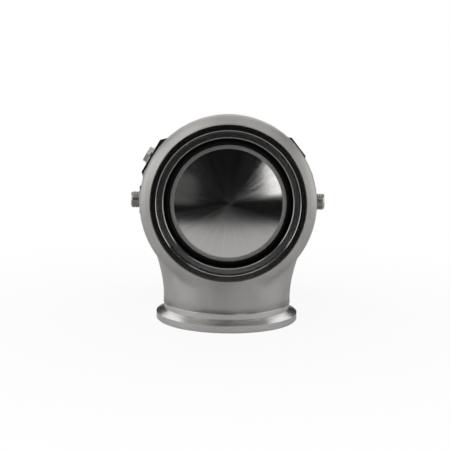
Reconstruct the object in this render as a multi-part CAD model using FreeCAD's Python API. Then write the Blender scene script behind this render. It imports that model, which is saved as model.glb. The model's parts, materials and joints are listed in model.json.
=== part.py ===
import FreeCAD, Part
import math
import os

os.makedirs("parts", exist_ok=True)

# The gate is drawn about its valve axis: +Z runs from the inlet face to the cap, +Y towards the
# outlet. The last step stands it on the outlet flange: face centre at the origin, face normal -Z.

# valve body
INLET_FLANGE_R = 40.0
FLANGE_RIM = 3.8
FLANGE_BEVEL_DEG = 28.0
INLET_NECK_R = 38.0
NECK_END = 8.6
SHOULDER_DEG = 24.0
SHOULDER_R = 44.4
BARREL_R = 46.0
SHOULDER_END = 15.5
BODY_TOP = 80.0
TOP_FLANGE_R = 48.0
TOP_FLANGE = 9.0
REGISTER_R = 36.7
REGISTER_DEPTH = 2.5
SEAT_LIP = 9.5
SEAT_BORE_R = 35.35
CHAMBER_R = 39.5
CHAMBER_FLOOR = 15.0
CHAMBER_TOP = 68.0
LUG_ANGLE = 18.0
LUG_R = 8.0
LUG_AT = 41.4
LUG_H = 16.0
SIDE_BOSS_R = 23.5
SIDE_BOSS_AT = 26.0
GUIDE_BOSS_R = 13.0
GUIDE_BOSS_END = 50.0

# outlet
OUTLET_AT = 39.0
OUTLET_TILT = 7.0
OUTLET_REACH = 63.0
OUTLET_FLANGE_R = 38.0
OUTLET_NECK_R = 34.2
OUTLET_BORE_R = 29.0
FLARE_R = 44.5
WELD_AT = 9.4
WELD_STEP = 0.35

# seat, valve and stem
SEAT_R = 36.1
SEAT_FIT = 0.05
THROAT_R = 33.2
SEAT_CHAMFER = 1.2
THROAT_EDGE = 0.4
SEAT_GAP = 0.4
VALVE_FACE_R = 27.9
VALVE_FACE_Z = 8.5
VALVE_BEVEL = 2.1
VALVE_LIP_Z = 12.4
VALVE_R = 35.0
VALVE_EDGE = 1.3
VALVE_CROWN = 2.2
STEM_R = 5.0
STEM_FIT = 0.04
STEM_SHOULDER = 98.0
STEM_THREAD_R = 4.0
STEM_END = 115.0
LIFT = 14.0
BUSH_R = 8.0
GUIDE_START = 47.0
GUIDE_END = 84.0
GUIDE_FLANGE = 1.6

# heat shield and lower housing
SHIELD = 1.5
HOUSING_R = 49.0
HOUSING_LUG = 1.2
HOUSING_FLOOR = 96.0
SPLIT = 108.0
FLANGE_R = 50.2
FLANGE_T = 9.0
LOWER_CHAMBER_R = 40.7
JACKET_IN = 20.0
JACKET_OUT = 31.0
JACKET_TOP = 91.5
COVER_T = 2.0
COVER_LAND = 2.5
STEM_BUSH_T = 10.0
PAD_AT = 50.9
PAD_ROOT = 30.0
PAD_BEVEL = 4.0
COOLANT_PAD_AT = 50.4
COOLANT_PAD_W = 17.0
PLUG_PAD_W = 29.0
PORT_PAD_W = 21.0
PAD_LOW = 84.0
PAD_HIGH = 98.0
PLUG_ANGLE = 150.5
PORT_ANGLE = 38.0
COOLANT_Z = 88.6
AIR_PORT_Z = 91.5
PORT_END = 41.0
PORT_R = 4.2
FITTING_R = 4.75
FITTING_OUT = 55.4
FITTING_CHAMFER = 0.8
FITTING_BORE_R = 2.6
FITTING_SEAT = 42.0
FITTING_NECK = (50.6, 51.4)
FITTING_NECK_R = 4.2
AIR_DRILL_R = 1.6
SCREW_POCKET = 4.0
SCREW_POCKET_R = 5.4

# diaphragm stack and springs
PLATE_R = 32.0
PLATE_T = 3.0
DIAPHRAGM_T = 1.5
BEAD_IN = 41.2
BEAD_OUT = 43.2
BEAD_H = 3.0
ROLL_GAP = 1.6
CUP_R = 31.0
CUP_T = 2.5
CUP_WALL = 2.0
CUP_H = 7.0
WASHER_R = 8.0
WASHER_T = 1.6
NUT_H = 6.5
NUT_AF = 13.0
OUTER_COIL = (25.2, 2.1, 5.0)
INNER_COIL = (16.5, 1.5, 6.5)
END_PITCH = 1.05
COIL_STEPS = 20
WIRE_SIDES = 8

# cap
CAP_FLANGE = 6.0
CAP_R = 41.8
CAP_BORE_R = 38.0
CAP_CEILING = 144.5
CAP_TOP = 149.0
CAP_EDGE = 5.0
SPRING_SEAT_T = 1.5
SPRING_SEAT_R = 30.0
SPRING_SEAT_IN = 8.0
RIB_COUNT = 16
CAP_PORT_AT = 30.0

# fasteners
BODY_SCREW_R = 3.0
BODY_SCREW_AT = 38.0
BODY_SCREW_DEEP = 10.0
CAP_SCREW_R = 2.0
CAP_SCREW_AT = 46.4
CAP_SCREW_COUNT = 8
CAP_SCREW_DEEP = 8.0
PLUG_AF = 9.0
PLUG_HEAD = (0.9, 3.1)
PLUG_SHANK = 7.0
CRUSH_T = 0.6
DOWEL_R = 2.0
DOWEL_AT = 40.0

Z = FreeCAD.Vector(0, 0, 1)
ORIGIN = FreeCAD.Vector(0, 0, 0)


def turned(start, *steps):
    """Solid of revolution about Z. A step is (r, z) for a line or (rm, zm, r, z) for an arc."""
    edges, at = [], FreeCAD.Vector(start[0], 0, start[1])
    for step in steps + (start,):
        to = FreeCAD.Vector(step[-2], 0, step[-1])
        if len(step) == 4:
            mid = FreeCAD.Vector(step[0], 0, step[1])
            edges.append(Part.Arc(at, mid, to).toShape())
        elif (to - at).Length > 1e-6:
            edges.append(Part.LineSegment(at, to).toShape())
        at = to
    return Part.Face(Part.Wire(edges)).revolve(ORIGIN, Z, 360)


def rod(r, low, high, x=0.0, y=0.0):
    return Part.makeCylinder(r, high - low, FreeCAD.Vector(x, y, low), Z)


def tube(r_out, r_in, low, high):
    return rod(r_out, low, high).cut(rod(r_in, low - 1, high + 1))


def prism(across_flats, low, high):
    r = across_flats / math.sqrt(3)
    ring = [FreeCAD.Vector(r * math.cos(a), r * math.sin(a), low)
            for a in (math.radians(60 * i) for i in range(7))]
    return Part.Face(Part.makePolygon(ring)).extrude(Z * (high - low))


def joined(shapes):
    return shapes[0].multiFuse(shapes[1:]).removeSplitter()


def spot(r, degrees):
    """Point on a circle; angles are read as seen from the inlet side, with the outlet down."""
    a = math.radians(degrees)
    return r * math.cos(a), -r * math.sin(a)


def radial(shape, degrees, z, r=0.0):
    """Turn a shape drawn along +Z so that it points outwards at this angle and height."""
    turn = FreeCAD.Rotation(Z, -degrees).multiply(FreeCAD.Rotation(FreeCAD.Vector(0, 1, 0), 90))
    moved = shape.copy()
    moved.Placement = FreeCAD.Placement(turn.multVec(Z) * r + Z * z, turn)
    return moved


def along_outlet(shape):
    """Place a shape drawn about +Z, with its outlet face at Z = 0 and the duct above it."""
    tilt = math.radians(OUTLET_TILT)
    out = FreeCAD.Vector(0, math.cos(tilt), math.sin(tilt))
    face = Z * OUTLET_AT + out * OUTLET_REACH
    moved = shape.copy()
    moved.Placement = FreeCAD.Placement(face, FreeCAD.Rotation(Z, out * -1))
    return moved


def lug_angles():
    return [LUG_ANGLE, 180 - LUG_ANGLE, 180 + LUG_ANGLE, 360 - LUG_ANGLE]


def cap_screw_angles():
    return [(i + 0.5) * 360.0 / CAP_SCREW_COUNT for i in range(CAP_SCREW_COUNT)]


def outlet_neck():
    """Round tube that widens sideways, but not along the valve axis, as it nears the barrel."""
    r, flat = OUTLET_NECK_R, OUTLET_NECK_R - 1.2
    sections = [(WELD_AT, r, r), (OUTLET_REACH * 0.43, r + 1.9, r - 0.2),
                (OUTLET_REACH * 0.65, r + 6.0, flat), (OUTLET_REACH, FLARE_R, flat)]
    wires = []
    for s, wide, deep in sections:
        ring = Part.Ellipse(ORIGIN, wide, deep - 0.001)
        ring.translate(Z * s)
        wires.append(Part.Wire(ring.toShape()))
    return along_outlet(Part.makeLoft(wires, True, False))


def outlet_weld_flange():
    """Bevelled clamp flange with a short hub, welded to the end of the neck."""
    bevel = (OUTLET_FLANGE_R - OUTLET_NECK_R - 0.8) * math.tan(math.radians(FLANGE_BEVEL_DEG))
    back, hub = FLANGE_RIM + bevel, OUTLET_NECK_R - WELD_STEP
    return along_outlet(turned(
        (OUTLET_BORE_R + 0.4, 0), (OUTLET_FLANGE_R - 0.4, 0), (OUTLET_FLANGE_R, 0.4),
        (OUTLET_FLANGE_R, FLANGE_RIM), (OUTLET_NECK_R + 0.8, back), (hub, back + 0.9),
        (hub, WELD_AT - 0.6), (hub + WELD_STEP, WELD_AT - 0.35, hub, WELD_AT), (OUTLET_BORE_R, WELD_AT),
        (OUTLET_BORE_R, 0.4)))


def body_outer():
    bevel = (INLET_FLANGE_R - INLET_NECK_R) * math.tan(math.radians(FLANGE_BEVEL_DEG))
    root, cone = INLET_NECK_R + 1.6, NECK_END + 1.8
    rise = (SHOULDER_R - root) * math.tan(math.radians(SHOULDER_DEG))
    barrel = turned(
        (0, 0), (INLET_FLANGE_R - 0.4, 0), (INLET_FLANGE_R, 0.4), (INLET_FLANGE_R, FLANGE_RIM),
        (INLET_NECK_R, FLANGE_RIM + bevel), (INLET_NECK_R, NECK_END),
        (INLET_NECK_R + 0.45, NECK_END + 1.1, root, cone), (SHOULDER_R, cone + rise),
        (BARREL_R - 0.4, cone + rise + 1.1, BARREL_R, SHOULDER_END),
        (BARREL_R, BODY_TOP - TOP_FLANGE - 4),
        (BARREL_R + 0.5, BODY_TOP - TOP_FLANGE - 1.5, TOP_FLANGE_R, BODY_TOP - TOP_FLANGE),
        (TOP_FLANGE_R, BODY_TOP), (0, BODY_TOP))
    shapes = [barrel, outlet_neck()]
    for angle in lug_angles():
        x, y = spot(LUG_AT, angle)
        shapes.append(rod(LUG_R, BODY_TOP - LUG_H, BODY_TOP, x, y))
    for angle in (0, 180):
        x, y = spot(SIDE_BOSS_AT, angle)
        shapes.append(rod(SIDE_BOSS_R, BODY_TOP - LUG_H, BODY_TOP, x, y))
    return joined(shapes)


def valve_body():
    chamber = turned((0, CHAMBER_FLOOR), (CHAMBER_R - 4, CHAMBER_FLOOR),
                     (CHAMBER_R - 1.17, CHAMBER_FLOOR + 1.17, CHAMBER_R, CHAMBER_FLOOR + 4),
                     (CHAMBER_R, CHAMBER_TOP - 6),
                     (CHAMBER_R - 1.76, CHAMBER_TOP - 1.76, CHAMBER_R - 6, CHAMBER_TOP),
                     (0, CHAMBER_TOP))
    mouth = turned((0, -1), (REGISTER_R + 0.3, -1), (REGISTER_R + 0.3, 0), (REGISTER_R, 0.3),
                   (REGISTER_R, REGISTER_DEPTH), (SEAT_R + SEAT_FIT, REGISTER_DEPTH),
                   (SEAT_R + SEAT_FIT, REGISTER_DEPTH + SEAT_LIP),
                   (SEAT_BORE_R, REGISTER_DEPTH + SEAT_LIP),
                   (SEAT_BORE_R, CHAMBER_FLOOR + 1), (0, CHAMBER_FLOOR + 1))
    r, end = OUTLET_BORE_R, OUTLET_REACH
    duct = along_outlet(turned((0, -1), (r, -1), (r, end), (r / math.sqrt(2), end + r / math.sqrt(2),
                                                            0, end + r)))
    hollow = body_outer().cut([mouth, chamber, duct])
    boss = rod(GUIDE_BOSS_R, GUIDE_BOSS_END, BODY_TOP)
    body = joined([hollow, boss])
    cuts = [rod(BUSH_R + SEAT_FIT, GUIDE_BOSS_END - 1, BODY_TOP + 1)]
    for angle in lug_angles():
        x, y = spot(BODY_SCREW_AT, angle)
        cuts.append(rod(BODY_SCREW_R + SEAT_FIT, BODY_TOP - BODY_SCREW_DEEP, BODY_TOP + 1, x, y))
    for angle in (90, 270):
        x, y = spot(DOWEL_AT, angle)
        cuts.append(rod(DOWEL_R + SEAT_FIT, BODY_TOP - 5, BODY_TOP + 1, x, y))
    return body.cut(cuts)


def valve_seat():
    r, lip, edge = SEAT_R, REGISTER_DEPTH + SEAT_LIP, THROAT_EDGE
    return turned((THROAT_R + edge, REGISTER_DEPTH), (r - 0.3, REGISTER_DEPTH), (r, REGISTER_DEPTH + 0.3),
                  (r, lip), (SEAT_BORE_R - SEAT_FIT, lip), (SEAT_BORE_R - SEAT_FIT, CHAMBER_FLOOR),
                  (THROAT_R + SEAT_CHAMFER, CHAMBER_FLOOR), (THROAT_R, CHAMBER_FLOOR - SEAT_CHAMFER),
                  (THROAT_R, REGISTER_DEPTH + edge))


def valve():
    """Poppet with a crowned, bevelled face, a groove behind it and a 45 degree seating lip."""
    face, crown, drop = VALVE_FACE_Z, VALVE_CROWN, VALVE_FACE_R + VALVE_BEVEL
    cone = THROAT_R + SEAT_CHAMFER - CHAMBER_FLOOR - SEAT_GAP
    back = VALVE_R - cone + VALVE_EDGE
    return turned((0, face - crown), (VALVE_FACE_R * 0.5, face - crown * 0.75, VALVE_FACE_R, face),
                  (drop, face + VALVE_BEVEL), (drop, VALVE_LIP_Z), (VALVE_LIP_Z + cone, VALVE_LIP_Z),
                  (VALVE_R, VALVE_R - cone), (VALVE_R, back), (12, back + 1.4),
                  (7, back + 2.3, STEM_R, back + 5), (STEM_R, STEM_SHOULDER),
                  (STEM_THREAD_R, STEM_SHOULDER), (STEM_THREAD_R, STEM_END - 0.8),
                  (STEM_THREAD_R - 0.8, STEM_END), (0, STEM_END))


def valve_guide():
    inner = STEM_R + STEM_FIT
    return turned((inner + 0.6, GUIDE_START), (BUSH_R - 0.8, GUIDE_START), (BUSH_R, GUIDE_START + 0.8),
                  (BUSH_R, BODY_TOP), (BUSH_R + 3, BODY_TOP), (BUSH_R + 3, BODY_TOP + GUIDE_FLANGE),
                  (BUSH_R - 1.5, BODY_TOP + GUIDE_FLANGE), (BUSH_R - 1.5, GUIDE_END),
                  (inner, GUIDE_END), (inner, GUIDE_START + 0.6))


def heat_shield():
    plate = joined([rod(TOP_FLANGE_R, BODY_TOP, BODY_TOP + SHIELD)]
                   + [rod(LUG_R, BODY_TOP, BODY_TOP + SHIELD, *spot(LUG_AT, a)) for a in lug_angles()])
    cuts = [rod(JACKET_IN - COVER_LAND - 2, BODY_TOP - 1, BODY_TOP + SHIELD + 1)]
    cuts += [rod(BODY_SCREW_R + 0.3, BODY_TOP - 1, BODY_TOP + SHIELD + 1, *spot(BODY_SCREW_AT, a))
             for a in lug_angles()]
    cuts += [rod(DOWEL_R + 0.1, BODY_TOP - 1, BODY_TOP + SHIELD + 1, *spot(DOWEL_AT, a))
             for a in (90, 270)]
    return plate.cut(cuts)


def pad(angle, width, at, bevel):
    """Flat-faced boss on the housing wall, with bevelled sides."""
    high = PAD_HIGH - PAD_LOW
    block = Part.makeBox(high, width, at - PAD_ROOT, FreeCAD.Vector(-high / 2, -width / 2, PAD_ROOT))
    outer = [e for e in block.Edges if all(v.Z > at - 1 for v in e.Vertexes) and
             abs(e.Vertexes[0].X - e.Vertexes[-1].X) > 1]
    return radial(block.makeChamfer(bevel, outer), angle, (PAD_HIGH + PAD_LOW) / 2)


def lower_housing():
    low = BODY_TOP + SHIELD
    shell = turned((0, low), (HOUSING_R - 1, low), (HOUSING_R, low + 1),
                   (HOUSING_R, SPLIT - FLANGE_T - 2), (FLANGE_R, SPLIT - FLANGE_T),
                   (FLANGE_R, SPLIT - 0.5), (FLANGE_R - 0.5, SPLIT), (0, SPLIT))
    pads = [pad(PLUG_ANGLE, PLUG_PAD_W, PAD_AT, PAD_BEVEL), pad(PORT_ANGLE, PORT_PAD_W, PAD_AT, PAD_BEVEL)]
    pads += [pad(angle, COOLANT_PAD_W, COOLANT_PAD_AT, PAD_BEVEL / 4) for angle in (0, 180)]
    lugs = [rod(LUG_R + HOUSING_LUG, low, PAD_HIGH, *spot(LUG_AT, a)) for a in lug_angles()]
    shell = joined([shell] + pads + lugs)
    cuts = [turned((0, HOUSING_FLOOR), (LOWER_CHAMBER_R - 2, HOUSING_FLOOR),
                   (LOWER_CHAMBER_R - 0.6, HOUSING_FLOOR + 0.6, LOWER_CHAMBER_R, HOUSING_FLOOR + 2),
                   (LOWER_CHAMBER_R, SPLIT - BEAD_H / 2), (BEAD_OUT + 0.1, SPLIT - BEAD_H / 2),
                   (BEAD_OUT + 0.1, SPLIT + 1), (0, SPLIT + 1)),
            tube(JACKET_OUT, JACKET_IN, low - 1, JACKET_TOP),
            tube(JACKET_OUT + COVER_LAND, JACKET_IN - COVER_LAND, low - 1, low + COVER_T),
            rod(BUSH_R + SEAT_FIT, low - 1, HOUSING_FLOOR + 1),
            rod(BUSH_R + 3.3, low - 1, BODY_TOP + GUIDE_FLANGE + 0.1)]
    for angle in lug_angles():
        x, y = spot(BODY_SCREW_AT, angle)
        cuts.append(rod(BODY_SCREW_R + 0.3, low - 1, HOUSING_FLOOR + 1, x, y))
        cuts.append(rod(SCREW_POCKET_R, HOUSING_FLOOR - SCREW_POCKET, SPLIT - 4, x, y))
    for angle in (90, 270):
        cuts.append(rod(DOWEL_R + SEAT_FIT, low - 1, low + 5, *spot(DOWEL_AT, angle)))
    for angle in cap_screw_angles():
        x, y = spot(CAP_SCREW_AT, angle)
        cuts.append(rod(CAP_SCREW_R + SEAT_FIT, SPLIT - CAP_SCREW_DEEP, SPLIT + 1, x, y))
    for angle in (0, 180):
        cuts.append(radial(rod(FITTING_R + SEAT_FIT, FITTING_SEAT, FITTING_OUT), angle, COOLANT_Z))
        cuts.append(radial(rod(FITTING_BORE_R, JACKET_OUT - 1, FITTING_OUT), angle, COOLANT_Z))
    for angle in (PLUG_ANGLE, PORT_ANGLE):
        cuts.append(radial(rod(PORT_R, PORT_END, PAD_AT + 1), angle, AIR_PORT_Z))
        cuts.append(rod(AIR_DRILL_R, AIR_PORT_Z, HOUSING_FLOOR + 2, *spot(PORT_END - 0.6, angle)))
    return shell.cut(cuts)


def jacket_cover():
    low = BODY_TOP + SHIELD
    return tube(JACKET_OUT + COVER_LAND - SEAT_FIT, JACKET_IN - COVER_LAND + SEAT_FIT, low, low + COVER_T)


def stem_bush():
    high = HOUSING_FLOOR
    return tube(BUSH_R, STEM_R + STEM_FIT, high - STEM_BUSH_T, high)


def stem_seal():
    high = HOUSING_FLOOR - STEM_BUSH_T
    return turned((STEM_R + STEM_FIT, high - 1.6), (STEM_R + 1.2, high - 1.2), (STEM_R + 1.2, high - 0.2),
                  (STEM_R + 0.5, high), (BUSH_R, high), (BUSH_R, high - 1.6))


def lower_plate():
    z = STEM_SHOULDER
    return turned((STEM_THREAD_R + SEAT_FIT, z), (10, z), (12, z + 0.8), (PLATE_R - 3, z + 0.8),
                  (PLATE_R - 0.9, z + 1.7, PLATE_R, z + PLATE_T), (STEM_THREAD_R + SEAT_FIT, z + PLATE_T))


def diaphragm():
    """Disc clamped by the plates, one rolled convolution, and a square bead held in the split."""
    z, t, bead = STEM_SHOULDER + PLATE_T, DIAPHRAGM_T, SPLIT - BEAD_H / 2
    wall = PLATE_R + ROLL_GAP
    crest, roll = (wall + BEAD_IN) / 2, (BEAD_IN - wall) / 2
    return turned((STEM_THREAD_R + SEAT_FIT, z), (wall, z), (wall + t, z + t), (wall + t, SPLIT),
                  (crest, SPLIT + roll - t, BEAD_IN - t, SPLIT), (BEAD_IN - t, bead), (BEAD_OUT, bead),
                  (BEAD_OUT, bead + BEAD_H), (BEAD_IN, bead + BEAD_H), (BEAD_IN, SPLIT),
                  (crest, SPLIT + roll, wall, SPLIT), (wall, z + t), (STEM_THREAD_R + SEAT_FIT, z + t))


def upper_plate():
    z = STEM_SHOULDER + PLATE_T + DIAPHRAGM_T
    return turned((STEM_THREAD_R + SEAT_FIT, z), (CUP_R - 1, z), (CUP_R, z + 1), (CUP_R, z + CUP_H - 0.5),
                  (CUP_R - 0.5, z + CUP_H), (CUP_R - CUP_WALL, z + CUP_H), (CUP_R - CUP_WALL, z + CUP_T),
                  (STEM_THREAD_R + SEAT_FIT, z + CUP_T))


def spring_floor():
    return STEM_SHOULDER + PLATE_T + DIAPHRAGM_T + CUP_T


def stem_washer():
    return tube(WASHER_R, STEM_THREAD_R + SEAT_FIT, spring_floor(), spring_floor() + WASHER_T)


def stem_nut():
    low = spring_floor() + WASHER_T
    r = NUT_AF / math.sqrt(3)
    chamfered = turned((0, low), (r, low), (r, low + NUT_H - 0.8), (NUT_AF / 2, low + NUT_H), (0, low + NUT_H))
    nut = prism(NUT_AF, low, low + NUT_H).common(chamfered)
    return nut.cut(rod(STEM_THREAD_R + SEAT_FIT, low - 1, low + NUT_H + 1))


def spring(coil):
    """Compression spring of flat facets with closed end turns, between the cup and the spring seat."""
    mean, wire, turns = coil
    low, high = spring_floor() + wire, CAP_CEILING - SPRING_SEAT_T - wire
    closed = END_PITCH * 2 * wire
    pitch = (high - low - 2 * closed) / (turns - 2)
    rings = []
    for i in range(round(turns * COIL_STEPS) + 1):
        u = i / COIL_STEPS
        rise = closed * (min(u, 1) + max(u - turns + 1, 0)) + pitch * min(max(u - 1, 0), turns - 2)
        a = 2 * math.pi * u
        ring = []
        for k in range(WIRE_SIDES):
            b = 2 * math.pi * k / WIRE_SIDES
            r = mean + wire * math.cos(b)
            ring.append(FreeCAD.Vector(r * math.cos(a), r * math.sin(a), low + rise + wire * math.sin(b)))
        rings.append(ring)
    faces = [Part.Face(Part.makePolygon(ring + ring[:1])) for ring in (rings[0], rings[-1])]
    for near, far in zip(rings, rings[1:]):
        for k in range(WIRE_SIDES):
            j = (k + 1) % WIRE_SIDES
            faces.append(Part.Face(Part.makePolygon([near[k], near[j], far[j], near[k]])))
            faces.append(Part.Face(Part.makePolygon([near[k], far[j], far[k], near[k]])))
    shell = Part.makeShell(faces)
    shell.sewShape()
    return Part.makeSolid(shell)


def upper_spring_seat():
    return tube(SPRING_SEAT_R, SPRING_SEAT_IN, CAP_CEILING - SPRING_SEAT_T, CAP_CEILING)


def top_cap():
    inner, outer = CAP_CEILING, CAP_TOP
    flange_top = SPLIT + CAP_FLANGE
    shell = turned((0, SPLIT), (FLANGE_R - 0.5, SPLIT), (FLANGE_R, SPLIT + 0.5),
                   (FLANGE_R, flange_top - 1), (FLANGE_R - 1, flange_top), (CAP_R + 0.8, flange_top),
                   (CAP_R, flange_top + 0.8), (CAP_R, outer - CAP_EDGE),
                   (CAP_R - CAP_EDGE * 0.29, outer - CAP_EDGE * 0.29, CAP_R - CAP_EDGE, outer), (0, outer))
    cuts = [turned((0, SPLIT - 1), (BEAD_OUT + 0.1, SPLIT - 1), (BEAD_OUT + 0.1, SPLIT + BEAD_H / 2),
                   (BEAD_IN + 0.2, SPLIT + BEAD_H / 2), (BEAD_IN + 0.2, SPLIT + 1), (CAP_BORE_R + 2, SPLIT + 4.5),
                   (CAP_BORE_R, flange_top + 3), (CAP_BORE_R, inner - 3),
                   (CAP_BORE_R - 0.9, inner - 0.9, CAP_BORE_R - 3, inner), (0, inner))]
    for angle in cap_screw_angles():
        cuts.append(rod(CAP_SCREW_R + 0.2, SPLIT - 1, outer + 1, *spot(CAP_SCREW_AT, angle)))
    for i in range(RIB_COUNT):
        x, y = spot(CAP_R + 2.2, i * 360.0 / RIB_COUNT)
        cuts.append(rod(3.4, flange_top + 6, outer - CAP_EDGE - 4, x, y))
    cuts.append(rod(PORT_R, inner - 1, outer + 1, *spot(CAP_PORT_AT, 90)))
    return shell.cut(cuts)


def socket_screws(r, at, angles, seat, length):
    """Socket head cap screws on a circle, heads up."""
    one = rod(r, seat - length, seat + 1).fuse(rod(1.67 * r, seat, seat + 2 * r))
    one = one.cut(prism(1.65 * r, seat + 0.9 * r, seat + 2 * r + 1))
    return Part.makeCompound([one.translated(FreeCAD.Vector(*spot(at, a), 0)) for a in angles])


def body_screws():
    seat = HOUSING_FLOOR - SCREW_POCKET
    length = seat - BODY_TOP + BODY_SCREW_DEEP - 1
    return socket_screws(BODY_SCREW_R, BODY_SCREW_AT, lug_angles(), seat, length)


def cap_screws():
    length = CAP_FLANGE + CAP_SCREW_DEEP - 1
    return socket_screws(CAP_SCREW_R, CAP_SCREW_AT, cap_screw_angles(), SPLIT + CAP_FLANGE, length)


def dowels():
    low = BODY_TOP - 4.5
    high = BODY_TOP + SHIELD + 4.5
    return Part.makeCompound([rod(DOWEL_R, low, high, *spot(DOWEL_AT, a)) for a in (90, 270)])


def coolant_fitting(angle):
    """Threaded hose stub screwed into the side of the housing, open right through to the jacket."""
    near, far = FITTING_NECK
    stub = turned((FITTING_BORE_R, FITTING_SEAT), (FITTING_R, FITTING_SEAT), (FITTING_R, near),
                  (FITTING_NECK_R, near), (FITTING_NECK_R, far), (FITTING_R, far),
                  (FITTING_R, FITTING_OUT - FITTING_CHAMFER), (FITTING_R - FITTING_CHAMFER, FITTING_OUT), (FITTING_BORE_R + 0.4, FITTING_OUT),
                  (FITTING_BORE_R, FITTING_OUT - 0.4))
    return radial(stub, angle, COOLANT_Z)


def hex_plug():
    """Hexagon head plug with its shank, drawn about +Z with the head seat at Z = 0."""
    shape = turned((0, PLUG_HEAD[0]), (PLUG_AF, PLUG_HEAD[0]), (PLUG_AF, PLUG_HEAD[1] - 0.9),
                   (PLUG_AF / 2, PLUG_HEAD[1]), (0, PLUG_HEAD[1]))
    head = prism(PLUG_AF, *PLUG_HEAD).common(shape)
    return joined([rod(PORT_R - SEAT_FIT, -PLUG_SHANK, CRUSH_T), rod(5.2, CRUSH_T, PLUG_HEAD[0]), head])


def crush_washer():
    return tube(5.6, PORT_R, 0, CRUSH_T)


def port_plug():
    return radial(hex_plug(), PLUG_ANGLE, AIR_PORT_Z, PAD_AT)


def port_plug_washer():
    return radial(crush_washer(), PLUG_ANGLE, AIR_PORT_Z, PAD_AT)


NODES = {
    "valve_body": valve_body(),
    "outlet_weld_flange": outlet_weld_flange(),
    "valve_seat": valve_seat(),
    "valve": valve(),
    "valve_guide": valve_guide(),
    "heat_shield": heat_shield(),
    "dowels": dowels(),
    "lower_housing": lower_housing(),
    "jacket_cover": jacket_cover(),
    "stem_bush": stem_bush(),
    "stem_seal": stem_seal(),
    "body_screws": body_screws(),
    "coolant_fitting_left": coolant_fitting(180),
    "coolant_fitting_right": coolant_fitting(0),
    "port_plug": port_plug(),
    "port_plug_washer": port_plug_washer(),
    "lower_plate": lower_plate(),
    "diaphragm": diaphragm(),
    "upper_plate": upper_plate(),
    "stem_washer": stem_washer(),
    "stem_nut": stem_nut(),
    "spring_outer": spring(OUTER_COIL),
    "spring_inner": spring(INNER_COIL),
    "upper_spring_seat": upper_spring_seat(),
    "top_cap": top_cap(),
    "cap_screws": cap_screws(),
}

tilt = math.radians(OUTLET_TILT)
stand = FreeCAD.Rotation(FreeCAD.Vector(1, 0, 0), -90 - OUTLET_TILT)
face = FreeCAD.Vector(0, OUTLET_REACH * math.cos(tilt), OUTLET_AT + OUTLET_REACH * math.sin(tilt))
PLACE = FreeCAD.Placement(stand.multVec(face) * -1, stand)

for name, shape in NODES.items():
    shape.Placement = PLACE.multiply(shape.Placement)
    shape.exportStep("parts/" + name + ".step")
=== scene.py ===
import json
import math

import bpy
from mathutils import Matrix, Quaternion, Vector

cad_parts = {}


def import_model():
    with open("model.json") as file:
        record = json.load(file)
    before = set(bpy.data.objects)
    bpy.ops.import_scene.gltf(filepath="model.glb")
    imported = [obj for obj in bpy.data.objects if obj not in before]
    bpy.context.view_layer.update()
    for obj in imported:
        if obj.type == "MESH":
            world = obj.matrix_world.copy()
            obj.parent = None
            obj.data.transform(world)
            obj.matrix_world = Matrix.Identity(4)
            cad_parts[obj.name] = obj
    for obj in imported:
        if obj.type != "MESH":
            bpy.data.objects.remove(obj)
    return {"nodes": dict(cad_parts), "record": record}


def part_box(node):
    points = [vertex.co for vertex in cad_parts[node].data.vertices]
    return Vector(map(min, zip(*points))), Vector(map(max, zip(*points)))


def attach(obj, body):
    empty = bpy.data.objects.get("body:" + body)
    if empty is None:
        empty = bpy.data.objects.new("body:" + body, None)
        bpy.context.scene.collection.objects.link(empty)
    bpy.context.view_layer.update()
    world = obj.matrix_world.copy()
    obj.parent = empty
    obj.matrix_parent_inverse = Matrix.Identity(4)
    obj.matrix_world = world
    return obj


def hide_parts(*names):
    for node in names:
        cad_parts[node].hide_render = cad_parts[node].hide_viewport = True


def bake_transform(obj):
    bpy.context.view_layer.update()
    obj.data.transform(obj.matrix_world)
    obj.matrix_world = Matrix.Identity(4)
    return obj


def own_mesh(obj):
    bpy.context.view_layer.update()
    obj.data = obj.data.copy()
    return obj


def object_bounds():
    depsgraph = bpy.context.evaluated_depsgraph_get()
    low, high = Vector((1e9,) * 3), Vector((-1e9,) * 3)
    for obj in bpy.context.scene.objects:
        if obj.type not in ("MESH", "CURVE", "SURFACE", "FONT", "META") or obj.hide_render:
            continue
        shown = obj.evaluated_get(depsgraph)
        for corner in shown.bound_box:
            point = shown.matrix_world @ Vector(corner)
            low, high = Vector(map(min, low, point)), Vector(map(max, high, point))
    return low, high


# The looks of the turbo wastegate, fitted round the CAD frame. Lengths are in metres, in the row frame.
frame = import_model()
NODES = frame["nodes"]
RECORD = frame["record"]
CAD_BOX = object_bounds()

MM = 0.001
WHITE = (1.0, 1.0, 1.0, 1.0)

# The valve axis, read from the record: W runs from the inlet face to the cap.
MOUNTS = {m["name"]: m for m in RECORD["mounts"]}
X = Vector((1, 0, 0))
W = -Vector(MOUNTS["inlet_register"]["axis"]).normalized()
DOWN = W.cross(X)
ON_AXIS = Vector(MOUNTS["inlet_register"]["pos_m"])
INLET = ON_AXIS + W * (Vector(MOUNTS["inlet_flange"]["pos_m"]) - ON_AXIS).dot(W)
OUTLET = Vector(MOUNTS["outlet_flange"]["pos_m"])
OUTLET_AXIS = -Vector(MOUNTS["outlet_flange"]["axis"])

# camera, given about the inlet face
CAMERA_BACK = 0.650
CAMERA_UP = math.radians(1.1)
CAMERA_LEFT = math.radians(0.25)
CAMERA_ROLL = math.radians(0.8)
AIM_BELOW = 10.86 * MM
AIM_LEFT = 1.55 * MM
FRAME_WIDTH = 227.8 * MM
SENSOR = 36.0
CLIP_START = 0.01

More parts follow.
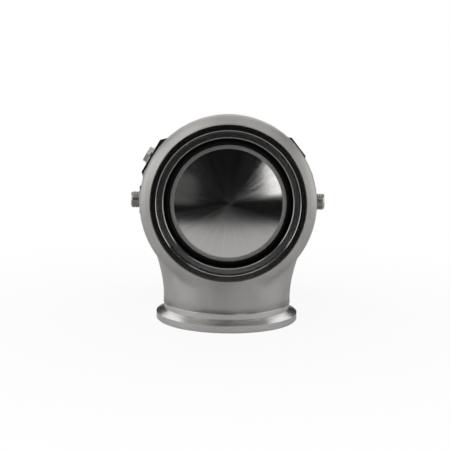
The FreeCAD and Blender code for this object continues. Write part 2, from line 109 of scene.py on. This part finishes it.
# detail sizes
STUB_PITCH = 1.0 * MM
STUB_THREAD_DEPTH = 0.5 * MM
STUB_BORE_R = 2.6 * MM
STUB_EDGE = 0.8 * MM
STUB_CHAMFER = 0.3 * MM
PORT_PITCH = 1.25 * MM
PORT_THREAD_DEPTH = 0.5 * MM
PORT_THREAD_GAP = 0.02 * MM
PORT_THREAD_SHARE = 0.9
STEPS_PER_PITCH = 8
ROUND_STEPS = 64

# where a finish changes, or painted shade and a painted sheen lie, by depth behind the inlet face and by
# distance from the valve axis
TURNED_DEPTH = 8.8 * MM
TURNED_R = 40.6 * MM
# painted shade: the inlet flange's outer chamfer is coloured nearly black
RIM_DEPTH = 0.42 * MM
RIM_R = 39.58 * MM
BRUSHED_DEPTHS = (12 * MM, 20 * MM)
BRUSHED_RADII = (43.5 * MM, 46.5 * MM)
# painted sheen: the valve's bevel, beyond this radius, is a pale matt grey in place of the light the
# steel reflects
BEVEL_R = 27.95 * MM
# painted shade: the seat's throat wall and the valve's lip are coloured black in the recess between them
SEAT_PAINTED_SHADE = (3.1 * MM, 3.6 * MM)
VALVE_PAINTED_SHADE = (10.7 * MM, 11.4 * MM)

# tool marks on turned metal
MARK_PITCH = 0.12 * MM
MARK_DEPTH = 0.0004 * MM

# how far edges look rounded, on cast and on turned metal
CAST_EDGE = 7.0 * MM
TURNED_EDGE = 0.1 * MM
BEVEL_SAMPLES = 6

# black of the painted shade in the seat's throat and on the valve's lip
PAINTED_SHADE_BLACK = (0.02, 0.019, 0.018, 1.0)
SEAT_STEEL = (0.50, 0.49, 0.48)
SEAT_ROUGHNESS = 0.20

# the part of a noise's range that most of its values fill, and a narrower one for more contrast
MOST = (0.3, 0.7)
MIDDLE = (0.35, 0.65)


def place(across, down, along):
    """A point in the row frame from distances off the valve axis and along it, in metres."""
    return INLET + X * across + DOWN * down + W * along


# ---------------------------------------------------------------- material graph


class Graph:
    """A material with a Principled shader and short calls for the nodes that feed it."""

    def __init__(self, name, colour, metallic, roughness):
        self.material = bpy.data.materials.new(name)
        self.material.use_nodes = True
        self.tree = self.material.node_tree
        self.shader = self.tree.nodes["Principled BSDF"]
        self.set("Base Color", (*colour, 1.0))
        self.set("Metallic", metallic)
        self.set("Roughness", roughness)

    def set(self, socket, value):
        self.shader.inputs[socket].default_value = value

    def drive(self, socket, source):
        self.tree.links.new(source, self.shader.inputs[socket])

    def feed(self, socket, value):
        if isinstance(value, bpy.types.NodeSocket):
            self.tree.links.new(value, socket)
        else:
            socket.default_value = value

    def node(self, kind, **inputs):
        made = self.tree.nodes.new(kind)
        for key, value in inputs.items():
            self.feed(made.inputs[key], value)
        return made

    def math(self, operation, *values):
        made = self.tree.nodes.new("ShaderNodeMath")
        made.operation = operation
        for socket, value in zip(made.inputs, values):
            self.feed(socket, value)
        return made.outputs[0]

    def vector(self, operation, *values, out=0):
        made = self.tree.nodes.new("ShaderNodeVectorMath")
        made.operation = operation
        for socket, value in zip(made.inputs, values):
            self.feed(socket, value)
        return made.outputs[out]

    def scaled(self, vector, factor):
        made = self.tree.nodes.new("ShaderNodeVectorMath")
        made.operation = "SCALE"
        self.feed(made.inputs[0], vector)
        self.feed(made.inputs["Scale"], factor)
        return made.outputs[0]

    def spread(self, value, low, high, to_low, to_high):
        made = self.tree.nodes.new("ShaderNodeMapRange")
        for socket, v in zip(made.inputs, (value, low, high, to_low, to_high)):
            self.feed(socket, v)
        return made.outputs[0]

    def mix(self, factor, a, b):
        made = self.tree.nodes.new("ShaderNodeMix")
        for socket, value in zip(made.inputs[0:1] + made.inputs[2:4], (factor, a, b)):
            self.feed(socket, value)
        return made.outputs[0]

    def mix_colour(self, factor, a, b):
        made = self.tree.nodes.new("ShaderNodeMix")
        made.data_type = "RGBA"
        sockets = [s for s in made.inputs if s.type == "RGBA"]
        for socket, value in zip([made.inputs[0]] + sockets, (factor, a, b)):
            self.feed(socket, value)
        return next(s for s in made.outputs if s.type == "RGBA")

    def place(self):
        return self.tree.nodes.new("ShaderNodeTexCoord").outputs["Object"]

    def noise(self, vector, scale, detail, roughness):
        made = self.node("ShaderNodeTexNoise", Vector=vector, Scale=scale, Detail=detail,
                         Roughness=roughness)
        return made.outputs[0]

    def line_noise(self, value, scale, detail):
        made = self.tree.nodes.new("ShaderNodeTexNoise")
        made.noise_dimensions = "1D"
        self.feed(made.inputs["W"], value)
        self.feed(made.inputs["Scale"], scale)
        self.feed(made.inputs["Detail"], detail)
        return made.outputs[0]

    def bump(self, height, distance, strength=1.0, normal=None):
        made = self.node("ShaderNodeBump", Height=height, Distance=distance, Strength=strength)
        if normal is not None:
            self.feed(made.inputs["Normal"], normal)
        return made.outputs[0]

    def polar(self, origin, axis):
        """Distance along an axis, distance from it, and the direction round it."""
        offset = self.vector("SUBTRACT", self.place(), tuple(origin))
        along = self.vector("DOT_PRODUCT", offset, tuple(axis), out=1)
        outward = self.vector("SUBTRACT", offset, self.scaled(tuple(axis), along))
        radius = self.vector("LENGTH", outward, out=1)
        around = self.vector("NORMALIZE", self.vector("CROSS_PRODUCT", tuple(axis), outward))
        return along, radius, around

    def across_grooves(self, around):
        """The direction across the tool marks of a turned surface, along which its shine spreads."""
        normal = self.tree.nodes.new("ShaderNodeNewGeometry").outputs["Normal"]
        return self.vector("NORMALIZE", self.vector("CROSS_PRODUCT", around, normal))

    def softened_edges(self, radius):
        """Surface normals rounded over the edges within a radius."""
        made = self.node("ShaderNodeBevel", Radius=radius)
        made.samples = BEVEL_SAMPLES
        return made.outputs[0]


def dress(node, graph):
    mesh = NODES[node].data
    mesh.materials.clear()
    mesh.materials.append(graph.material)


# ---------------------------------------------------------------- materials


def turned_metal(name, colour, roughness, anisotropy, origin=INLET, axis=W):
    """Lathe-turned metal: rings of tool marks whose shine spreads across the rings."""
    g = Graph(name, colour, 1.0, roughness)
    along, radius, around = g.polar(origin, axis)
    rings = g.line_noise(g.math("ADD", radius, g.math("MULTIPLY", along, 0.8)), 1 / MARK_PITCH, 3.0)
    g.drive("Roughness", g.spread(rings, *MOST, roughness - 0.04, roughness + 0.04))
    g.drive("Tangent", g.across_grooves(around))
    g.set("Anisotropic", anisotropy)
    g.drive("Normal", g.bump(rings, MARK_DEPTH))
    return g


def body_metal():
    """Satin cast stainless with brushed rings on the shoulder and a finely turned inlet flange, whose
    outer chamfer is painted with shade.
    """
    g = Graph("cast_stainless", (0.52, 0.51, 0.49), 1.0, 0.40)
    along, radius, around = g.polar(INLET, W)
    point = g.place()
    grain = g.noise(point, 1 / (0.9 * MM), 6.0, 0.62)
    blotch = g.noise(point, 1 / (14 * MM), 3.0, 0.55)
    rings = g.line_noise(g.math("ADD", radius, along), 1 / (1.5 * MM), 4.0)
    turned = g.math("MULTIPLY", g.math("LESS_THAN", along, TURNED_DEPTH),
                    g.math("LESS_THAN", radius, TURNED_R))
    # mask for the painted shade on the flange's outer chamfer
    painted_shade_rim = g.math("MULTIPLY", g.math("GREATER_THAN", radius, RIM_R),
                 g.math("LESS_THAN", along, RIM_DEPTH))
    brushed = g.math("MULTIPLY", g.spread(along, *BRUSHED_DEPTHS, 1.0, 0.0),
                     g.spread(radius, *BRUSHED_RADII, 1.0, 0.0))
    speckle = g.noise(point, 1 / (0.5 * MM), 3.0, 0.7)
    tone = g.math("ADD", g.spread(blotch, *MIDDLE, 0.0, 0.5), g.spread(speckle, *MIDDLE, 0.0, 0.5))
    cast = g.mix_colour(tone, (0.43, 0.42, 0.405, 1.0), (0.56, 0.546, 0.53, 1.0))
    worn = g.math("MULTIPLY", g.spread(rings, *MIDDLE, 0.0, 0.22), brushed)
    lined = g.mix_colour(worn, cast, (0.25, 0.24, 0.23, 1.0))
    # painted shade: the outer chamfer coloured nearly black
    g.drive("Base Color", g.mix_colour(painted_shade_rim, lined, (0.06, 0.06, 0.06, 1.0)))
    cast_rough = g.math("ADD", g.spread(grain, *MOST, 0.36, 0.46),
                        g.spread(blotch, *MIDDLE, -0.02, 0.03))
    g.drive("Roughness", g.mix(turned, cast_rough, 0.135))
    g.drive("Tangent", g.across_grooves(around))
    g.drive("Anisotropic", g.math("MULTIPLY", turned, 0.4))
    softened = g.softened_edges(g.mix(turned, CAST_EDGE, TURNED_EDGE))
    smooth = g.math("SUBTRACT", 1.0, turned)
    lines = g.bump(rings, g.math("MULTIPLY", g.math("MULTIPLY", brushed, smooth), 0.030 * MM), 0.7,
                   softened)
    g.drive("Normal", g.bump(grain, g.mix(turned, 0.018 * MM, 0.0002 * MM), 0.6, lines))
    return g


def seat_metal():
    """Turned stainless ring whose throat wall is painted black with shade."""
    g = turned_metal("machined_stainless", SEAT_STEEL, SEAT_ROUGHNESS, 0.4)
    along = g.polar(INLET, W)[0]
    # painted shade: black on the throat wall, deep in the recess
    painted_shade = g.spread(along, *SEAT_PAINTED_SHADE, 0.0, 1.0)
    g.drive("Base Color", g.mix_colour(painted_shade, (*SEAT_STEEL, 1.0), PAINTED_SHADE_BLACK))
    g.drive("Roughness", g.mix(painted_shade, SEAT_ROUGHNESS, 0.5))
    return g


def valve_metal():
    """Fine turned valve steel: a brushed crown, a pale matt bevel round it that is a painted sheen, and
    a lip painted black with shade.
    """
    g = Graph("valve_steel", (0.62, 0.61, 0.60), 1.0, 0.24)
    along, radius, around = g.polar(INLET, W)
    point = g.place()
    rings = g.line_noise(radius, 1 / (0.16 * MM), 4.0)
    scratch = g.noise(point, 1 / (0.45 * MM), 5.0, 0.7)
    streaks = g.noise(around, 13.0, 5.0, 0.65)
    bevel = g.math("GREATER_THAN", radius, BEVEL_R)
    # painted shade on the lip, deep in the recess by the seat
    painted_shade = g.spread(along, *VALVE_PAINTED_SHADE, 0.0, 1.0)
    crown = g.mix_colour(g.spread(rings, *MOST, 0.0, 1.0), (0.54, 0.53, 0.52, 1.0),
                         (0.66, 0.65, 0.64, 1.0))
    # painted sheen: a pale, matt, hardly metallic bevel stands in for the light the steel reflects
    crown_and_painted_sheen = g.mix_colour(bevel, crown, (0.84, 0.82, 0.79, 1.0))
    g.drive("Base Color", g.mix_colour(painted_shade, crown_and_painted_sheen, PAINTED_SHADE_BLACK))
    g.drive("Metallic", g.mix(bevel, 1.0, 0.15))
    polish = g.math("ADD", g.spread(rings, *MOST, 0.11, 0.145),
                    g.spread(streaks, *MOST, -0.03, 0.04))
    g.drive("Roughness", g.mix(bevel, polish, 0.42))
    g.drive("Tangent", g.across_grooves(around))
    g.set("Anisotropic", 0.85)
    g.drive("Normal", g.bump(scratch, 0.0006 * MM, 0.6, g.bump(rings, 0.0003 * MM)))
    return g


def anodised():
    """Satin black anodising, a little uneven over wide patches."""
    g = Graph("black_anodised", (0.012, 0.012, 0.013), 0.0, 0.38)
    point = g.place()
    fine = g.noise(point, 1 / (0.5 * MM), 4.0, 0.6)
    wide = g.noise(point, 1 / (18 * MM), 2.0, 0.5)
    g.drive("Roughness", g.math("ADD", g.spread(fine, *MOST, 0.30, 0.40),
                                g.spread(wide, *MOST, -0.03, 0.03)))
    g.drive("Normal", g.bump(fine, 0.004 * MM, 0.5))
    return g


def plain_metal(name, colour, roughness):
    """Metal with a fine grain and no direction to its shine."""
    g = Graph(name, colour, 1.0, roughness)
    fine = g.noise(g.place(), 1 / (0.4 * MM), 4.0, 0.6)
    g.drive("Roughness", g.spread(fine, *MOST, roughness - 0.07, roughness + 0.07))
    g.drive("Normal", g.bump(fine, 0.003 * MM, 0.5))
    return g


def rubber(name, colour):
    """Matt rubber with a fine grain."""
    g = Graph(name, colour, 0.0, 0.6)
    fine = g.noise(g.place(), 1 / (0.6 * MM), 3.0, 0.6)
    g.drive("Roughness", g.spread(fine, *MOST, 0.52, 0.68))
    g.drive("Normal", g.bump(fine, 0.01 * MM, 0.5))
    return g


BRIGHT_STEEL = plain_metal("fitting_steel", (0.52, 0.51, 0.49), 0.22)
ANODISED = anodised()
FINISHES = {
    "cast_stainless": body_metal(),
    "machined_stainless": seat_metal(),
    "valve_steel": valve_metal(),
    "bronze": turned_metal("bronze", (0.55, 0.38, 0.18), 0.28, 0.5),
    "shield_steel": plain_metal("shield_steel", (0.45, 0.44, 0.42), 0.30),
    "fastener_steel": plain_metal("fastener_steel", (0.07, 0.07, 0.075), 0.35),
    "fitting_steel": BRIGHT_STEEL,
    "washer_aluminium": plain_metal("washer_aluminium", (0.75, 0.75, 0.76), 0.30),
    "black_anodised": ANODISED,
    "plain_aluminium": turned_metal("plain_aluminium", (0.72, 0.73, 0.74), 0.28, 0.5),
    "seal_rubber": rubber("seal_rubber", (0.02, 0.02, 0.02)),
    "diaphragm_rubber": rubber("diaphragm_rubber", (0.16, 0.06, 0.04)),
    "spring_steel": plain_metal("spring_steel", (0.32, 0.33, 0.35), 0.38),
}
for part in RECORD["subparts"]:
    dress(part["node"], FINISHES[part["material_slot"]])
# painted shade: the plug wears a darker copy of the fitting steel
dress("port_plug", plain_metal("plug_steel_painted_shade", (0.33, 0.32, 0.305), 0.18))
dress("outlet_weld_flange", turned_metal("outlet_stainless", (0.66, 0.65, 0.64), 0.27, 0.3,
                                         OUTLET, OUTLET_AXIS))

# ---------------------------------------------------------------- pieces


def piece(name, verts, faces, graph, slot, body="gate"):
    """A mesh in the row frame that rides on a body."""
    mesh = bpy.data.meshes.new(name)
    mesh.from_pydata([tuple(v) for v in verts], [], faces)
    mesh.materials.append(graph.material)
    mesh.update()
    made = bpy.data.objects.new(name, mesh)
    bpy.context.scene.collection.objects.link(made)
    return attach(made, body)


def rings_mesh(origin, axis, rings):
    """Points and quads through rings of (along, radius of angle) about an axis."""
    axis = Vector(axis).normalized()
    side = axis.orthogonal().normalized()
    other = axis.cross(side)
    verts, faces = [], []
    for along, radius in rings:
        for k in range(ROUND_STEPS):
            a = 2 * math.pi * k / ROUND_STEPS
            outward = side * math.cos(a) + other * math.sin(a)
            verts.append(Vector(origin) + axis * along + outward * radius(a))
    for i in range(len(rings) - 1):
        for k in range(ROUND_STEPS):
            near, far = i * ROUND_STEPS, (i + 1) * ROUND_STEPS
            j = (k + 1) % ROUND_STEPS
            faces.append((near + k, near + j, far + j, far + k))
    return verts, faces


def ridge(along, pitch, depth, r):
    """Radius of a helical thread cut inwards from r, at this place on its axis, by angle."""
    def radius(a):
        turn = (along / pitch - a / (2 * math.pi)) % 1.0
        return r - depth * abs(2 * turn - 1)
    return radius


def threaded_stub(side, mount, node):
    """Coolant stub with its thread cut into it, open through the middle."""
    r = MOUNTS[mount]["dims"]["r_mm"] * MM
    low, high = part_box(node)
    root, tip = sorted((abs(low.x), abs(high.x)))
    origin = Vector((0, (low.y + high.y) / 2, (low.z + high.z) / 2))
    rings = [(root, lambda a: STUB_BORE_R), (root, lambda a: r - STUB_THREAD_DEPTH)]
    steps = round((tip - STUB_EDGE - root) / (STUB_PITCH / STEPS_PER_PITCH))
    for i in range(steps + 1):
        along = root + (tip - STUB_EDGE - root) * i / steps
        rings.append((along, ridge(along, STUB_PITCH, STUB_THREAD_DEPTH, r)))
    rings += [(tip, lambda a: r - STUB_EDGE), (tip, lambda a: STUB_BORE_R + STUB_CHAMFER),
              (tip - STUB_CHAMFER, lambda a: STUB_BORE_R), (root, lambda a: STUB_BORE_R)]
    made = piece("thread_" + mount, *rings_mesh(origin, X * side, rings), BRIGHT_STEEL, "fitting_steel")
    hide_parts(node)


def port_thread(mount):
    """Thread inside a port, standing on the wall of the drilled hole."""
    spec = MOUNTS[mount]
    r, length = spec["dims"]["r_mm"] * MM, spec["dims"]["length_mm"] * MM
    steps = round(length / (PORT_PITCH / STEPS_PER_PITCH))
    rings = []
    for i in range(steps + 1):
        along = (i / steps - 0.5) * length * PORT_THREAD_SHARE
        rings.append((along, ridge(along, PORT_PITCH, PORT_THREAD_DEPTH, r - PORT_THREAD_GAP)))
    piece("thread_" + mount, *rings_mesh(spec["pos_m"], spec["axis"], rings), ANODISED, "black_anodised")


def soft_copy(node):
    """A copy of a CAD node with a mesh of its own, shown in place of the node."""
    made = bpy.data.objects.new(node + "_working", NODES[node].data.copy())
    made.matrix_world = NODES[node].matrix_world.copy()
    bpy.context.scene.collection.objects.link(made)
    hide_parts(node)
    return made


def working_springs():
    """Copies of the springs, each with a mesh of its own, riding on the gate."""
    for node in ("spring_outer", "spring_inner"):
        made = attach(soft_copy(node), "gate")
        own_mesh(made)


def working_diaphragm():
    """A copy of the diaphragm, with its placement baked into its mesh."""
    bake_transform(soft_copy("diaphragm"))


threaded_stub(-1, "coolant_left", "coolant_fitting_left")
threaded_stub(1, "coolant_right", "coolant_fitting_right")
port_thread("air_port")
port_thread("cap_port")
working_springs()
working_diaphragm()

# ---------------------------------------------------------------- stage

HALF_FLOOR = 3.0
# just below the outlet's face, so that the two don't share a plane
FLOOR_Z = CAD_BOX[0][2] - 0.05 * MM
FLOOR_GREY = 0.80
# how white the floor shows itself near the part, and the distances over which that rises to 1
NEAR_GLOW = 0.92
NEAR, FAR = 0.08, 0.26
# what the world gives to every ray but the camera's
DARK = 0.004


def floor_material():
    """Matt floor that shows itself white to the camera, a little less close by, to keep a shadow."""
    material = bpy.data.materials.new("floor_white")
    material.use_nodes = True
    tree = material.node_tree
    tree.nodes.remove(tree.nodes["Principled BSDF"])
    matt = tree.nodes.new("ShaderNodeBsdfDiffuse")
    matt.inputs["Color"].default_value = (FLOOR_GREY, FLOOR_GREY, FLOOR_GREY, 1.0)
    light = tree.nodes.new("ShaderNodeEmission")
    light.inputs["Color"].default_value = WHITE
    mix = tree.nodes.new("ShaderNodeMixShader")
    away = tree.nodes.new("ShaderNodeVectorMath")
    away.operation = "LENGTH"
    glow = tree.nodes.new("ShaderNodeMapRange")
    for socket, value in zip(glow.inputs[1:5], (NEAR, FAR, NEAR_GLOW, 1.0)):
        socket.default_value = value
    share = tree.nodes.new("ShaderNodeMath")
    share.operation = "MULTIPLY"
    tree.links.new(tree.nodes.new("ShaderNodeTexCoord").outputs["Object"], away.inputs[0])
    tree.links.new(away.outputs["Value"], glow.inputs[0])
    tree.links.new(tree.nodes.new("ShaderNodeLightPath").outputs["Is Camera Ray"], share.inputs[0])
    tree.links.new(glow.outputs[0], share.inputs[1])
    tree.links.new(share.outputs[0], mix.inputs[0])
    tree.links.new(matt.outputs[0], mix.inputs[1])
    tree.links.new(light.outputs[0], mix.inputs[2])
    tree.links.new(mix.outputs[0], tree.nodes["Material Output"].inputs["Surface"])
    return material


def floor():
    mesh = bpy.data.meshes.new("floor")
    corners = ((-1, -1), (1, -1), (1, 1), (-1, 1))
    mesh.from_pydata([(HALF_FLOOR * x, HALF_FLOOR * y, FLOOR_Z) for x, y in corners], [],
                     [(0, 1, 2, 3)])
    mesh.materials.append(floor_material())
    made = bpy.data.objects.new("floor", mesh)
    bpy.context.scene.collection.objects.link(made)


def panel(name, azimuth, elevation, away, width, height, radiance):
    """Soft light panel aimed at the valve. Azimuth is to the right of the line to the camera."""
    a, e = math.radians(azimuth), math.radians(elevation)
    toward = Vector((math.sin(a) * math.cos(e), -math.cos(a) * math.cos(e), math.sin(e)))
    data = bpy.data.lights.new(name, "AREA")
    data.shape = "RECTANGLE"
    data.size, data.size_y = width, height
    data.energy = radiance * math.pi * width * height
    lamp = bpy.data.objects.new(name, data)
    lamp.location = INLET + toward * away
    lamp.rotation_euler = (INLET - lamp.location).to_track_quat("-Z", "Y").to_euler()
    bpy.context.scene.collection.objects.link(lamp)


def world():
    """White to the camera alone. Every other ray, reflections included, gets nearly black."""
    made = bpy.data.worlds.new("studio")
    bpy.context.scene.world = made
    made.use_nodes = True
    sky = made.node_tree.nodes["Background"]
    ray = made.node_tree.nodes.new("ShaderNodeLightPath").outputs["Is Camera Ray"]
    level = made.node_tree.nodes.new("ShaderNodeMapRange")
    for socket, value in zip(level.inputs[1:5], (0.0, 1.0, DARK, 1.0)):
        socket.default_value = value
    made.node_tree.links.new(ray, level.inputs[0])
    made.node_tree.links.new(level.outputs[0], sky.inputs["Strength"])
    sky.inputs["Color"].default_value = WHITE


floor()
panel("key_panel", -50, 43, 1.3, 1.0, 1.0, 1.15)
panel("top_panel", 0, 88, 1.4, 1.8, 1.8, 0.65)
panel("front_panel", 42, 50, 1.4, 0.9, 0.7, 0.7)
panel("left_panel", -88, 15, 1.3, 1.6, 1.0, 1.3)
panel("left_low_panel", -24, 11, 1.3, 0.50, 0.28, 0.11)
panel("right_panel", 27, 16.5, 1.3, 0.50, 0.34, 1.7)
panel("right_side_panel", 90, 15, 1.3, 1.6, 1.0, 1.3)
panel("back_panel", 180, 45, 1.4, 2.2, 1.0, 1.3)
world()

# ---------------------------------------------------------------- camera

camera_data = bpy.data.cameras.new("camera")
camera = bpy.data.objects.new("camera", camera_data)
bpy.context.scene.collection.objects.link(camera)
camera_data.sensor_width = SENSOR
camera_data.lens = SENSOR * CAMERA_BACK / FRAME_WIDTH
camera_data.clip_start = CLIP_START
camera.location = place(-CAMERA_BACK * math.tan(CAMERA_LEFT), -CAMERA_BACK * math.tan(CAMERA_UP),
                        -CAMERA_BACK)
aim = place(-AIM_LEFT, AIM_BELOW, 0.0)
level_view = (aim - camera.location).to_track_quat("-Z", "Y")
camera.rotation_euler = (level_view @ Quaternion((0, 0, 1), CAMERA_ROLL)).to_euler()
bpy.context.scene.camera = camera
bpy.context.scene.view_settings.view_transform = "Standard"
